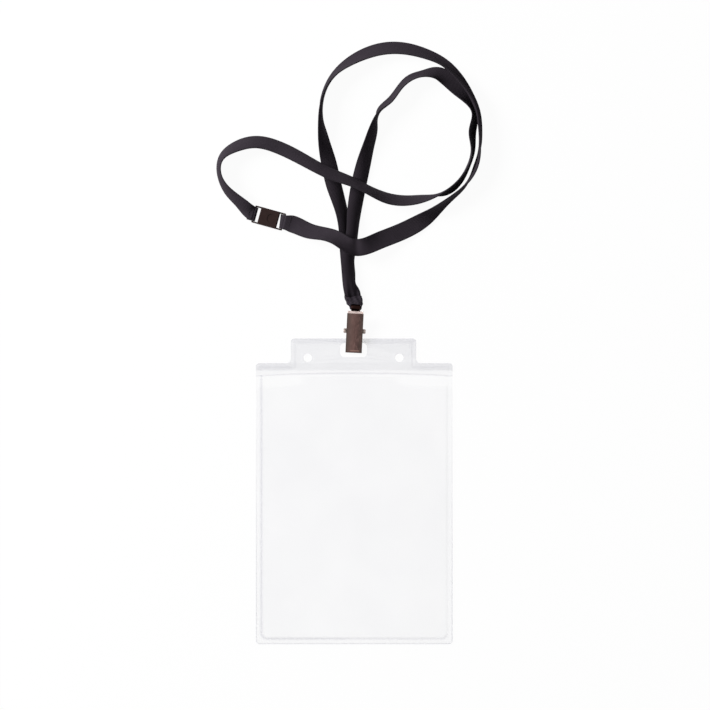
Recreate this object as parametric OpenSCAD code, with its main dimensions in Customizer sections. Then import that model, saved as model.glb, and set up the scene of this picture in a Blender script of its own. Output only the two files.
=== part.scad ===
// A clear badge wallet for an A6 card, lying on its back, with its spring clip and its neck lanyard.
// X runs across the wallet, Y up its length and Z up off the table.
// The origin is the middle of the wallet's rear face.

/* [Wallet] */
// Width of the wallet over its side welds
wallet_w = 113; // [100:0.5:130]
// Height of the wallet from its foot to its shoulders
wallet_h = 161.5; // [140:0.5:180]
// Thickness of one sheet of film
film_t = 0.4; // [0.3:0.05:0.6]
// Width of the welded rim down the sides and along the foot
rim_w = 3; // [2:0.1:5]
// Room between the rear sheet and the pocket sheet
pocket_gap = 0.5; // [0.3:0.05:1]
// Radius of the pocket's inner corners
pocket_r = 3.5; // [1:0.25:8]
// Radius of the wallet's outer corners
corner_r = 2; // [1:0.25:5]
// Distance from the shoulders down to the lower edge of the header
header_h = 4.3; // [3:0.1:8]
// Distance from the shoulders down to the ends of the pocket's mouth
mouth_drop = 6.9; // [5.5:0.1:12]
// How far the pocket's upper edge bows up in the middle
mouth_bow = 1.5; // [0.5:0.1:2.5]

/* [Tab] */
// Width of the tab
tab_w = 72; // [60:0.5:90]
// Height of the tab above the shoulders
tab_h = 14.1; // [13:0.1:18]
// How far the tab sits off the middle of the wallet
tab_shift = -0.4; // [-2:0.1:2]
// Radius where the tab meets the shoulders
fillet_r = 2.5; // [1:0.25:4]
// Length of the slot across the tab
slot_w = 15.5; // [14:0.5:20]
// Height of the slot
slot_h = 8; // [7:0.25:9]
// Strip of film above the slot, which the clip holds
strip_w = 2.6; // [2:0.1:3.5]
// Radius of the slot's corners
slot_r = 2.5; // [1:0.25:3]
// Radius of the two round holes
hole_r = 2.4; // [1.5:0.1:3]
// Distance between the round holes
hole_pitch = 52.6; // [40:0.2:56]
// Height of the round holes above the shoulders
hole_up = 3; // [2.9:0.1:6]

/* [Clip] */
// Thickness of the clip's sheet steel
steel_t = 0.5; // [0.4:0.05:0.7]
// Width of the lever
lever_w = 9.4; // [8.5:0.1:11]
// Length of the lever
lever_l = 22.5; // [20:0.25:25]
// Height of the lever's fold above the table, behind the jaw
fold_z = 2.8; // [2.5:0.1:3.5]
// Height of the lever's tail above the table
tail_z = 7.6; // [7:0.1:9]
// Distance from the jaw to the pivot pin
pivot_l = 12.5; // [11:0.25:14]
// Height of the pivot pin above the table
pivot_z = 2.9; // [2.7:0.05:3.2]
// Radius of the pivot pin
pin_r = 0.7; // [0.5:0.05:0.8]
// Width of the lower jaw
jaw_w = 9; // [7.5:0.1:9.2]
// Width over the lower jaw's ears
ear_span = 12.2; // [11:0.1:14]
// Number of teeth on the lever's lip
teeth = 5; // [3:1:7]
// Gap from the clip's jaw to the foot of the slot
jaw_up = 2.4; // [1.5:0.1:3]
// Lean of the clip to the right, in degrees
clip_lean = 2.8; // [0:0.2:5]
// Width of the tang and its rolled eye
tang_w = 5.2; // [4:0.1:6.5]
// Outer radius of the rolled eye
eye_r = 2; // [1.8:0.05:2.3]
// Distance from the jaw to the middle of the eye
eye_l = 25.9; // [25.5:0.1:27]

/* [Spring] */
// Diameter of the spring wire
wire_d = 0.5; // [0.4:0.05:0.6]
// Radius to the middle of the wire
coil_r = 1.2; // [1.15:0.05:1.3]
// Gap between two coils
coil_gap = 0.45; // [0.42:0.01:0.6]
// Length of each arm of the spring
arm_l = 6; // [4:0.25:7]

/* [Strap] */
// Width of the woven strap
strap_w = 10; // [9.5:0.1:10.5]
// Thickness of the woven strap
strap_t = 0.7; // [0.5:0.05:0.9]
// Length of the sewn legs beside the socket's bar
leg_l = 5; // [4:0.25:5]
// Length of the sewn legs beside the plug's bar
plug_leg_l = 3.5; // [3:0.25:3.5]

/* [Buckle] */
// Width of the buckle
buckle_w = 10; // [9.6:0.1:12]
// Thickness of the buckle
buckle_t = 3.6; // [3.4:0.1:4.5]
// Length of the closed body between the two strap slots
block_l = 11.2; // [10.5:0.1:12]
// Width of each strap slot along the buckle
gate_l = 2.7; // [2.5:0.1:3]
// Width of the side rails beside the strap slots
rail_w = 0.8; // [0.6:0.05:1]
// Width of the bar that holds the strap
bar_w = 0.8; // [0.7:0.05:1]
// Thickness of the bar that holds the strap
bar_t = 1.2; // [1:0.05:1.3]
// Distance of the seam from the middle of the buckle
seam_l = 1.6; // [1:0.1:2.5]
// Length of the prongs past the seam
prong_l = 5.2; // [4:0.1:5.6]
// Across-the-table place of the buckle
buckle_x = -49.1; // [-50:0.1:-48]
// Place of the buckle up from the middle of the wallet
buckle_y = 157; // [156.5:0.1:157.5]
// Turn of the buckle on the table, in degrees
buckle_turn = -15.5; // [-17:0.5:-14]

/* [Hidden] */
$fn = 48;

// Overrun of cuts
over = 1;

// Places up the wallet
top_y = (wallet_h + tab_h) / 2;
foot_y = -top_y;
shoulder_y = top_y - tab_h;
header_y = shoulder_y - header_h;
mouth_y = shoulder_y - mouth_drop;
slot_y = top_y - strip_w - slot_h;
hole_y = shoulder_y + hole_up;
mouth_span = wallet_w - 2 * rim_w;
mouth_r = (mouth_span * mouth_span / 4 + mouth_bow * mouth_bow) / (2 * mouth_bow);

// The tab climbs onto the clip's lower jaw
strip_clear = 0.2;
tab_lift = steel_t + strip_clear;
climb_l = 3.7;
climb_gap = 0.4;
climb_y = header_y + climb_gap;

// The clip, in its own frame: Y from the jaw to the tail, X across
clip_x = tab_shift;
clip_y = slot_y + jaw_up;
jaw_gap = 0.06;
lip_z = 1.3;
tooth_h = 0.3;
tooth_gap = 0.12;
fold_back = 0.6;
flange_low = 1.2;
flange_tail = 0.7;
lobe_r = 1.5;
ear_r = 1.3;
ear_clear = 0.02;
pin_clear = 0.05;
head_r = 1.1;
head_t = 0.25;
jaw_tail = 1.5;
tail_lip = 1.8;
tail_ear = 1;
neck_r = 0.8;
roll_slit = 0.4;
slit_turn = 30;
lever_slope = (tail_z - fold_z) / (lever_l - fold_back);
eye_bore = eye_r - steel_t;

// The gathered strap in the eye. Each row is one side of its route, from the bore's mouth to the
// free strap: out from the tang, up from the eye, lift, turn, half width and half thickness.
bight_clear = 0.08;
bight_sides = 10;
pad_y = 111.5;
join_gap = 0.1;
moving_gap = 0.2;
bight_long = [
    [0.5, 0.25, 0, 22, 0.95, 1.5], [0.7, 0.95, 0, 53, 0.68, 1.7], [0.8, 1.5, 0, 75, 0.7, 1.75],
    [1.05, 2.2, -0.15, 90, 0.9, 1.5], [0.6, 3.4, -0.4, 105, 2, 1], [-0.7, 4.7, -0.85, 100, 3.3, 0.5]
];
bight_short = [
    [0.5, 0.25, 0, 22, 0.95, 1.5], [0.7, 0.95, 0, 53, 0.68, 1.7], [0.8, 1.5, 0, 75, 0.7, 1.75],
    [1, 2.2, 0.1, 90, 0.9, 1.5], [-0.3, 3.4, 0.3, 105, 2, 1], [-1.7, 4.7, 0.65, 100, 3.3, 0.5]
];

// The spring
coil_turns = 3.5;
curl_rings = 8;
wire_sides = 6;
seat_gap = 0.08;
coil_pitch = wire_d + coil_gap;

// The strap's section, and how it is folded round a bar
edge_r = 0.2;
wrap_gap = 0.08;
tail_rest = 0.2;
tail_gap = 0.35;
arc_steps = 16;
gate_gap = 0.15;
bar_s = block_l / 2 + gate_l + bar_w / 2;
wrap_r = sqrt(bar_w * bar_w + bar_t * bar_t) / 2 + wrap_gap;
bar_z = buckle_t / 2;
fold_w = buckle_w - 2 * rail_w - 2 * gate_gap;
join_z = tail_rest + strap_t + tail_gap;

// The buckle's inside
frame_t = 2.4;
shell_t = 0.8;
wall_t = 1.1;
prong_w = 1.6;
prong_gap = 0.2;
tongue_w = 1.8;
tongue_short = 1;
prong_room = 0.6;
barb_l = 1.2;
barb_h = 0.12;
chamfer = 0.5;
grip_r = 2.6;
grip_deep = 0.25;

// The long side of the strap, from the clip up, over the top and down to the socket.
// Each point has its place on the table, the height of its lower edge and its roll in degrees.
long_route = [
    [0, 112, 0.6, 4], [-1.4, 117, 0.3, 30], [-2.8, 124, 0.2, 42], [-3.5, 132, 0.2, 43],
    [-4.1, 140, 0.2, 40], [-4.8, 148, 0.2, 45], [-5.8, 156, 0.2, 45], [-8.4, 166.1, 0.2, 38],
    [-11.8, 177, 0.2, 24], [-14.3, 188, 0.2, 26], [-16.6, 198.1, 0.2, 44], [-18.2, 209.1, 0.2, 67],
    [-18.9, 219, 0.2, 88], [-17.1, 228.9, 0.2, 96], [-12.3, 237.7, 0.2, 106], [-3.7, 245.4, 0.2, 123],
    [7.5, 251.3, 0.2, 136], [18.5, 254.1, 0.2, 140], [30, 253.7, 0.2, 138], [41.2, 250.6, 0.2, 131],
    [51.4, 245.2, 0.2, 124], [60, 236.8, 0.2, 118], [66.3, 227.6, 0.2, 107], [70.4, 217.8, 0.2, 103],
    [71.9, 207, 0.2, 101], [71.8, 197, 0.2, 92], [69.3, 186.7, 0.2, 78], [64.2, 176.5, 0.2, 91],
    [55, 168.2, 0.2, 104], [45.2, 160, 0.2, 128], [34.8, 153, 0.6, 163], [24, 147.8, 2.4, 173],
    [13.4, 143.5, 5.2, 174], [4.4, 140.1, 7.6, 170], [-2.6, 140.4, 8.6, 186], [-9.2, 144.4, 7.8, 206],
    [-17.6, 147.5, 4.4, 219], [-26.3, 149.5, 2, 206], [-35.8, 153.3, 1.25, 180]
];

// The short side, from the clip up through its kink, round inside and over to the plug
short_route = [
    [0.4, 112, 1.8, 4], [-1.2, 117, 1.5, 30], [-2.6, 124, 1.3, 42], [-3.1, 132, 1.1, 43],
    [-2.2, 140, 1, 38], [-0.6, 148, 0.6, 42], [0, 156, 0.6, 38], [1.1, 166, 0.3, 28],
    [5.6, 187.9, 0.2, 33], [8.6, 198.7, 0.2, 50], [11.9, 210.2, 0.2, 68], [14.6, 218.3, 0.2, 101],
    [20.5, 223.7, 0.2, 111], [25.9, 230.6, 0.2, 109], [32.2, 236.7, 0.2, 115], [40.1, 239.3, 0.2, 118],
    [48.6, 239.4, 0.2, 146], [58.6, 231.6, 0.2, 150], [64.5, 224.9, 0.2, 128], [68.6, 217.2, 0.2, 112],
    [67.2, 206, 0.2, 116], [67.6, 196, 0.2, 102], [65.2, 186.7, 0.2, 96], [60.3, 178.3, 0.2, 104],
    [52.5, 171.9, 0.2, 102], [42.7, 169.1, 0.2, 70], [31, 167.3, 0.8, 52], [19.6, 168.2, 2.6, 50],
    [8.5, 172.8, 4.8, 58], [-1.6, 177.7, 5.6, 54], [-12, 181.5, 6.2, 47], [-21.8, 186.2, 5.6, 46],
    [-43.7, 197.7, 0.2, 40], [-56, 200.7, 0.2, 42], [-68.2, 197.9, 0.2, 50], [-77, 190.8, 0.2, 70],
    [-77.8, 181.9, 0.2, 101], [-73.4, 172.4, 0.3, 116], [-65.8, 164.6, 0.9, 127], [-60.9, 160.3, 1.25, 180]
];

// Flat shapes

module round_box(w, h, r) {
    translate([-w / 2 + r, -h / 2]) square([w - 2 * r, h]);
    translate([-w / 2, -h / 2 + r]) square([w, h - 2 * r]);
    for (sx = [-1, 1], sy = [-1, 1])
        translate([sx * (w / 2 - r), sy * (h / 2 - r)]) circle(r);
}

module fillet_corner(r) {
    difference() {
        translate([-over, -over]) square(r + over);
        translate([r, r]) circle(r);
    }
}

module sheet_outline() {
    difference() {
        union() {
            translate([0, (foot_y + shoulder_y) / 2]) round_box(wallet_w, wallet_h, corner_r);
            translate([tab_shift, top_y - tab_h]) {
                translate([0, tab_h / 2 - over]) round_box(tab_w, tab_h + 2 * over, corner_r);
                for (s = [0, 1])
                    mirror([s, 0]) translate([tab_w / 2, 0]) fillet_corner(fillet_r);
            }
        }
        translate([-tab_w, top_y]) square([2 * tab_w, over]);
        translate([tab_shift, slot_y + slot_h / 2]) round_box(slot_w, slot_h, slot_r);
        for (s = [-1, 1])
            translate([tab_shift + s * hole_pitch / 2, hole_y]) circle(hole_r);
    }
}

// Everything between two heights of film that climb onto the clip's jaw, from start_y up
module film_layer(low, start_y) {
    run = [[start_y, 0], [climb_y, 0], [climb_y + climb_l, tab_lift], [top_y + over, tab_lift]];
    under = [for (p = run) if (p[0] >= start_y) [p[0], p[1] + low]];
    upper = [for (i = [len(under) - 1:-1:0]) [under[i][0], under[i][1] + film_t]];
    translate([-wallet_w, 0, 0]) rotate([90, 0, 90])
        linear_extrude(2 * wallet_w) polygon(concat(under, upper));
}

// The wallet's three sheets of film

module rear_sheet() {
    color("#dfe3e6", 0.5) intersection() {
        film_layer(0, foot_y - over);
        linear_extrude(film_t + tab_lift + over) sheet_outline();
    }
}

module header_sheet() {
    color("#d5dade", 0.5) intersection() {
        film_layer(film_t, header_y);
        linear_extrude(2 * film_t + tab_lift + over) sheet_outline();
    }
}

module mouth_side() {
    translate([0, mouth_y + mouth_bow - mouth_r]) circle(mouth_r, $fn = 360);
}

module pocket_sheet() {
    bag_h = 2 * wallet_h;
    bag_y = foot_y + rim_w + bag_h / 2;
    color("#e8ecee", 0.5) intersection() {
        translate([0, 0, film_t]) difference() {
            union() {
                linear_extrude(film_t) sheet_outline();
                translate([0, bag_y, 0])
                    linear_extrude(pocket_gap + film_t) round_box(mouth_span, bag_h, pocket_r);
            }
            translate([0, bag_y + film_t, -over]) linear_extrude(pocket_gap + over)
                round_box(mouth_span - 2 * film_t, bag_h, pocket_r - film_t);
        }
        linear_extrude(2 * film_t + pocket_gap + over) mouth_side();
    }
}

// The spring clip

module clip_place() {
    translate([clip_x, clip_y, 0]) rotate([0, 0, -clip_lean]) children();
}

module across(r, l) {
    rotate([0, 90, 0]) translate([0, 0, -l / 2]) cylinder(h = l, r = r);
}

// A block across the clip, l long and h high, from y and z
module bar_across(w, y, l, z, h) {
    translate([-w / 2, y, z]) cube([w, l, h]);
}

module teeth_row(w, count, grow) {
    pitch = w / count;
    for (i = [0:count - 1])
        translate([(i + 0.5) * pitch - w / 2, steel_t + over, 0]) rotate([90, 0, 0])
            linear_extrude(steel_t + 2 * over)
                polygon([[-pitch / 4 - grow, -tooth_h], [pitch / 4 + grow, -tooth_h],
                         [grow, tooth_h], [-grow, tooth_h]]);
}

module jaw_plan() {
    jaw_end = lever_l + jaw_tail;
    translate([-jaw_w / 2, 0]) square([jaw_w, jaw_end]);
    translate([-tang_w / 2, 0]) square([tang_w, eye_l]);
    translate([-ear_span / 2, pivot_l - ear_r]) square([ear_span, 2 * ear_r]);
    for (s = [0, 1]) mirror([s, 0])
        translate([jaw_w / 2, pivot_l + ear_r]) fillet_corner(neck_r);
}

module clip_ear() {
    translate([ear_span / 2 - steel_t, 0, 0]) difference() {
        union() {
            translate([0, pivot_l - ear_r, 0]) cube([steel_t, 2 * ear_r, pivot_z]);
            translate([0, pivot_l, pivot_z]) rotate([0, 90, 0]) cylinder(h = steel_t, r = ear_r);
        }
        translate([0, pivot_l, pivot_z]) across(pin_r + ear_clear, 2 * ear_span);
    }
}

module clip_jaw() {
    jaw_end = lever_l + jaw_tail;
    color("#b9b4ae") clip_place() {
        linear_extrude(steel_t) jaw_plan();
        difference() {
            bar_across(jaw_w, 0, steel_t, 0, lip_z);
            translate([0, 0, lip_z]) mirror([0, 0, 1]) teeth_row(lever_w, teeth, tooth_gap);
        }
        for (s = [0, 1]) mirror([s, 0, 0]) {
            clip_ear();
            translate([jaw_w / 2 - steel_t, jaw_end - tail_ear, 0])
                cube([steel_t, tail_ear, tail_lip]);
        }
        translate([0, eye_l, eye_r]) difference() {
            across(eye_r, tang_w);
            across(eye_bore, tang_w + 2 * over);
            rotate([slit_turn, 0, 0]) translate([-tang_w, -2 * eye_r, 0])
                cube([2 * tang_w, 2 * eye_r, roll_slit]);
        }
    }
}

// Side view of the lever's flange, which runs from its lip to its tail
module flange_side() {
    low = steel_t + flange_low;
    difference() {
        union() {
            polygon([[steel_t, fold_z], [lever_l, tail_z],
                     [lever_l, tail_z - steel_t - flange_tail],
                     [pivot_l + lobe_r, pivot_z + lobe_r / 2], [pivot_l - lobe_r, pivot_z],
                     [pivot_l - 2 * lobe_r, fold_z + (pivot_l - 2 * lobe_r) * lever_slope - low],
                     [steel_t, fold_z - steel_t]]);
            translate([pivot_l, pivot_z]) circle(lobe_r);
        }
        translate([pivot_l, pivot_z]) circle(pin_r + pin_clear);
    }
}

module lever_plate() {
    rotate([90, 0, 90]) translate([0, 0, -lever_w / 2]) linear_extrude(lever_w)
        polygon([[0, fold_z - steel_t], [fold_back, fold_z], [lever_l, tail_z],
                 [lever_l, tail_z - steel_t], [steel_t + fold_back, fold_z - steel_t],
                 [steel_t, fold_z - 2 * steel_t], [0, fold_z - 2 * steel_t]]);
}

module clip_lever() {
    color("#5c4a44") clip_place() {
        lever_plate();
        intersection() {
            bar_across(lever_w, 0, steel_t, lip_z + jaw_gap - tooth_h, fold_z - lip_z);
            union() {
                bar_across(lever_w, 0, steel_t, lip_z + jaw_gap, fold_z);
                translate([0, 0, lip_z + jaw_gap]) mirror([0, 0, 1])
                    teeth_row(lever_w, teeth, 0);
            }
        }
        for (s = [0, 1]) mirror([s, 0, 0]) translate([lever_w / 2 - steel_t, 0, 0])
            rotate([90, 0, 90]) linear_extrude(steel_t) flange_side();
    }
}

module clip_pin() {
    color("#c9c5bf") clip_place() translate([0, pivot_l, pivot_z]) {
        across(pin_r, ear_span + 2 * head_t);
        for (s = [-1, 1]) translate([s * (ear_span + head_t) / 2, 0, 0]) across(head_r, head_t);
    }
}

// Sweeps

function unit(v) = v / norm(v);
function reversed(p) = [for (i = [len(p) - 1:-1:0]) p[i]];
// The two broad faces of a strap split their quads along the same diagonal
function ring_faces(n, sides) = concat(
    [[for (k = [0:sides - 1]) k]],
    [for (i = [0:n - 2], k = [0:sides - 1], h = [0, 1])
        let (a = i * sides + k, b = i * sides + (k + 1) % sides, c = a + sides, d = b + sides)
            k < sides / 2 ? (h == 0 ? [a, c, b] : [b, c, d]) : (h == 0 ? [a, c, d] : [a, d, b])],
    [[for (k = [sides - 1:-1:0]) (n - 1) * sides + k]]);

// The spring: a wire that comes in along the jaw, winds round the pin and goes out under the lever
coil_steps = coil_turns * curl_rings;
lever_under = fold_z - steel_t * sqrt(1 + lever_slope * lever_slope);
arm_y = pivot_l + arm_l;
arm_top = lever_under + (arm_y - fold_back) * lever_slope - wire_d / 2 - seat_gap;
coil_x = coil_turns * coil_pitch / 2;
function coil_point(k) = let (a = -90 - 360 * k / curl_rings) [
    -coil_x + coil_pitch * k / curl_rings, pivot_l + coil_r * cos(a), pivot_z + coil_r * sin(a)];
spring_line = concat(
    [[-coil_x, arm_y, steel_t + wire_d / 2 + seat_gap]],
    [for (k = [0:coil_steps]) coil_point(k)],
    [[coil_x, arm_y, arm_top]]);
function line_dir(p, i) = unit(p[min(i + 1, len(p) - 1)] - p[max(i - 1, 0)]);
function wire_ring(p, i) = let (
    f = line_dir(p, i), s = unit(cross(f, [1, 0, 0])), u = cross(f, s))
    [for (k = [0:wire_sides - 1]) let (a = 360 * k / wire_sides)
        p[i] + wire_d / 2 * (cos(a) * s + sin(a) * u)];
spring_gap = min([for (i = [1:coil_steps + 1], j = [1:coil_steps + 1])
    if (j - i > curl_rings / 2) norm(spring_line[i] - spring_line[j])]) - wire_d;
echo("least gap of the spring to itself", spring_gap);

module clip_spring() {
    color("#9a9690") clip_place()
        polyhedron(
            points = [for (i = [0:len(spring_line) - 1]) each wire_ring(spring_line, i)],
            faces = ring_faces(len(spring_line), wire_sides));
}

// The flat strap: each ring is a strap section, rolled about its route
function strap_centre(q) =
    [q[0], q[1], q[2] + strap_w / 2 * abs(sin(q[3])) + strap_t / 2 * abs(cos(q[3]))];
function strap_dir(route, i, end_dir) =
    i == 0 ? [0, 1, 0] : i == len(route) - 1 ? end_dir
    : unit(strap_centre(route[i + 1]) - strap_centre(route[i - 1]));
function strap_ring(route, i, wide, end_dir) = let (
    f = strap_dir(route, i, end_dir), level = unit([-f[1], f[0], 0]), roll = route[i][3],
    lean = cos(roll) * level + sin(roll) * [0, 0, 1],
    face = unit(cross(f, lean)), side = cross(face, f),
    w = wide / 2, t = strap_t / 2)
    [for (s = [[w, edge_r - t], [w, t - edge_r], [w - edge_r, t], [edge_r - w, t],
               [-w, t - edge_r], [-w, edge_r - t], [edge_r - w, -t], [w - edge_r, -t]])
        strap_centre(route[i]) + s[0] * side + s[1] * face];
section_points = 8;

// end_side is 1 where the strap comes to the buckle from the right, and -1 from the left
module strap_run(route, end_side) {
    last = len(route) - 1;
    end_dir = -end_side * [cos(buckle_turn), sin(buckle_turn), 0];
    color("#2d2a30") polyhedron(
        points = [for (i = [0:last])
            each strap_ring(route, i, i == last ? fold_w : strap_w, end_dir)],
        faces = ring_faces(last + 1, section_points));
}

module strap_long() {
    strap_run(long_route, 1);
}

module strap_short() {
    strap_run(short_route, -1);
}

// The gathered bight: one tube that comes down from the long side, runs through the rolled eye
// and goes up to the short side. s is -1 on the long side's half and 1 on the short side's.
function on_table(p) = [
    clip_x + p[0] * cos(clip_lean) + p[1] * sin(clip_lean),
    clip_y + p[1] * cos(clip_lean) - p[0] * sin(clip_lean), p[2]];
function bight_ring(c, turn, wide, thick) = [for (k = [0:bight_sides - 1])
    let (a = 360 * k / bight_sides)
        c + wide * cos(a) * [-sin(turn), cos(turn), 0] + [0, 0, thick * sin(a)]];
function side_ring(s, row) = bight_ring(
    on_table([s * (tang_w / 2 + row[0]), eye_l + row[1], eye_r + row[2]]),
    s * row[3] - clip_lean, row[4], row[5]);
function bore_ring(s) = bight_ring(
    on_table([s * tang_w / 2, eye_l, eye_r]), -clip_lean,
    eye_bore - bight_clear, eye_bore - bight_clear);
function pad_ring(s, start) = let (c = strap_centre(start)) bight_ring(
    [c[0], pad_y, c[2]], s * 90, strap_w / 2 - edge_r, strap_t / 2);
bight_rings = concat(
    [pad_ring(-1, long_route[0])], [for (row = reversed(bight_long)) side_ring(-1, row)],
    [bore_ring(-1), bore_ring(1)],
    [for (row = bight_short) side_ring(1, row)], [pad_ring(1, short_route[0])]);

module strap_bight() {
    color("#241f24") polyhedron(
        points = [for (r = bight_rings) each r],
        faces = ring_faces(len(bight_rings), bight_sides));
}

// The buckle and the sewn folds of the strap, in the buckle's own frame

module buckle_place() {
    translate([buckle_x, buckle_y, 0]) rotate([0, 0, buckle_turn]) children();
}

// Half a turn round the bar, from its top to its foot
function bar_arc(r) = [for (i = [0:arc_steps])
    [bar_s + r * cos(90 + 180 * i / arc_steps), bar_z + r * sin(90 + 180 * i / arc_steps)]];

// The fold round the bar at the right-hand end, seen from the side
module fold_side(leg, gap) {
    reach = bar_s + leg - gap;
    past_bar = bar_s + bar_w / 2 + wrap_gap;
    outer = wrap_r + strap_t;
    polygon(concat(
        [[reach, join_z + strap_t], [past_bar, bar_z + outer]], bar_arc(outer),
        [[past_bar, bar_z - outer], [reach, tail_rest], [reach, tail_rest + strap_t],
         [past_bar, bar_z - wrap_r]], reversed(bar_arc(wrap_r)),
        [[past_bar, bar_z + wrap_r], [reach, join_z]]));
}

module strap_fold(leg, gap) {
    color("#2d2a30") rotate([90, 0, 0]) translate([0, 0, -fold_w / 2])
        linear_extrude(fold_w) fold_side(leg, gap);
}

module strap_fold_socket() {
    buckle_place() strap_fold(leg_l, join_gap);
}

module strap_fold_plug() {
    buckle_place() mirror([1, 0, 0]) strap_fold(plug_leg_l, moving_gap);
}

// The closed part of a half: from start to the strap slot, with its end frame and bar
module buckle_half(start) {
    block_end = block_l / 2;
    end_l = gate_l + bar_w;
    rotate([90, 0, 0]) translate([0, 0, -buckle_w / 2]) linear_extrude(buckle_w)
        polygon([[start, 0], [block_end - chamfer, 0], [block_end, chamfer],
                 [block_end, buckle_t - chamfer], [block_end - chamfer, buckle_t],
                 [start, buckle_t]]);
    for (s = [0, 1]) mirror([0, s, 0])
        translate([block_end, buckle_w / 2 - rail_w, (buckle_t - frame_t) / 2])
            cube([end_l, rail_w, frame_t]);
    translate([bar_s - bar_w / 2, -buckle_w / 2, bar_z - bar_t / 2])
        cube([bar_w, buckle_w, bar_t]);
}

// A half with its upright corners rounded
module buckle_trim(start) {
    reach = bar_s + bar_w / 2;
    intersection() {
        buckle_half(start);
        translate([0, 0, -over]) linear_extrude(buckle_t + 2 * over)
            round_box(2 * reach, buckle_w, chamfer);
    }
}

// A shallow dish for the thumb in both faces
module thumb_dish(x) {
    for (z = [0, buckle_t])
        translate([x, 0, z]) cylinder(h = 2 * grip_deep, r = grip_r, center = true);
}

module buckle_socket() {
    room_w = buckle_w - 2 * wall_t;
    color("#3c302d") buckle_place() difference() {
        buckle_trim(-seam_l);
        translate([-seam_l - over, -room_w / 2, shell_t])
            cube([prong_l + prong_room + over, room_w, buckle_t - 2 * shell_t]);
        thumb_dish(seam_l);
    }
}

module prong_plan() {
    room_w = buckle_w - 2 * wall_t;
    outer = room_w / 2 - prong_gap;
    tip = prong_l - seam_l;
    for (s = [0, 1]) mirror([0, s]) polygon([
        [-seam_l - over, outer - barb_h], [tip - barb_l, outer - barb_h], [tip - barb_l, outer],
        [tip, outer - 4 * barb_h], [tip, outer - prong_w], [-seam_l - over, outer - prong_w]]);
    translate([-seam_l - over, -tongue_w / 2]) square([prong_l - tongue_short + over, tongue_w]);
}

module buckle_plug() {
    color("#3c302d") buckle_place() {
        mirror([1, 0, 0]) buckle_trim(seam_l);
        translate([0, 0, shell_t + prong_gap])
            linear_extrude(buckle_t - 2 * shell_t - 2 * prong_gap) prong_plan();
    }
}

rear_sheet();
pocket_sheet();
header_sheet();
clip_jaw();
clip_lever();
clip_pin();
clip_spring();
strap_bight();
strap_long();
strap_short();
strap_fold_socket();
strap_fold_plug();
buckle_socket();
buckle_plug();
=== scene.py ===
# %% [markdown]
# # A clear badge wallet on a woven neck strap
#
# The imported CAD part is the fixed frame. Its clip, pin and buckle and the film's back and header
# sheets stay, and get their finish here. The strap, its sewn folds, the spring and the pocket's
# sheet are soft or springy things that a CAD solid shows too plainly, so each is built again as
# a surface in the place of its own solid.

# %% Load the frame
import math

import bpy
import numpy as np
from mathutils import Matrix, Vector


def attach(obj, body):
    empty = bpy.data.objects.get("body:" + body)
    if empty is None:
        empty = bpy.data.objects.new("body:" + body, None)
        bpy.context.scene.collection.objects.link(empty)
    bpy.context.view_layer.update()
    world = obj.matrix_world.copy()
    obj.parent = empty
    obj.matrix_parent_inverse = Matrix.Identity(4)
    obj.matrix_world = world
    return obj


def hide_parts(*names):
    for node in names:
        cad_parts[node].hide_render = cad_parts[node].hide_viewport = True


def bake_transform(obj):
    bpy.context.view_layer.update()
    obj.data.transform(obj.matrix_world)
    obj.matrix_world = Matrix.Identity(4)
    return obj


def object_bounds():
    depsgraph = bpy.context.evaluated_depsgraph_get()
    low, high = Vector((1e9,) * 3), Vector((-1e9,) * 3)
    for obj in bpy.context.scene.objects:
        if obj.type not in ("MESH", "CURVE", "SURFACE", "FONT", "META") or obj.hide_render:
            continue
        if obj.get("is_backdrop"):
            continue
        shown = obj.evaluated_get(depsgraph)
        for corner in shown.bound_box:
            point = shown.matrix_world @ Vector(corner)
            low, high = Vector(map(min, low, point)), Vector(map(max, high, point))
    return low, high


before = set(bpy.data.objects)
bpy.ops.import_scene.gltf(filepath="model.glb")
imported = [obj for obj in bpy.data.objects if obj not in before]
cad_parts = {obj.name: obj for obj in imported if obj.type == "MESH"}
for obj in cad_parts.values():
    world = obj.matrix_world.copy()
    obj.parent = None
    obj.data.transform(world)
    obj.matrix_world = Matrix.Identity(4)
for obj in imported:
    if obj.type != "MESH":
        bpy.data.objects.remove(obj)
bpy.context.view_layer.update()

MM = 0.001

# %% [markdown]
# ## The camera
#
# The wallet was photographed from straight above. A long lens far away keeps the loops of the
# strap from growing towards the camera. Its field is set from the real size of the wallet:
# the square picture is 408.25 mm wide on the table.

# %% Camera
VIEW_WIDTH, VIEW_HEIGHT = 408.25 * MM, 1.6
PICTURE_MIDDLE = (0.43 * MM, 78.34 * MM)
camera = bpy.data.objects.new("camera", bpy.data.cameras.new("camera"))
bpy.context.scene.collection.objects.link(camera)
camera.location = (*PICTURE_MIDDLE, VIEW_HEIGHT)
camera.data.sensor_width = 36
camera.data.lens = camera.data.sensor_width * VIEW_HEIGHT / VIEW_WIDTH
camera.data.clip_end = 10
bpy.context.scene.camera = camera
bpy.context.scene.view_settings.view_transform = "Standard"
print("lens in mm:", round(camera.data.lens, 1))

# %% [markdown]
# ## From points to a piece
#
# Each piece here is a set of points worked out with numpy, in millimetres, and a list of faces
# between them. One function hands them to Blender, which counts in metres. Every object stays at
# the origin, and its place is in its points.

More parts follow.
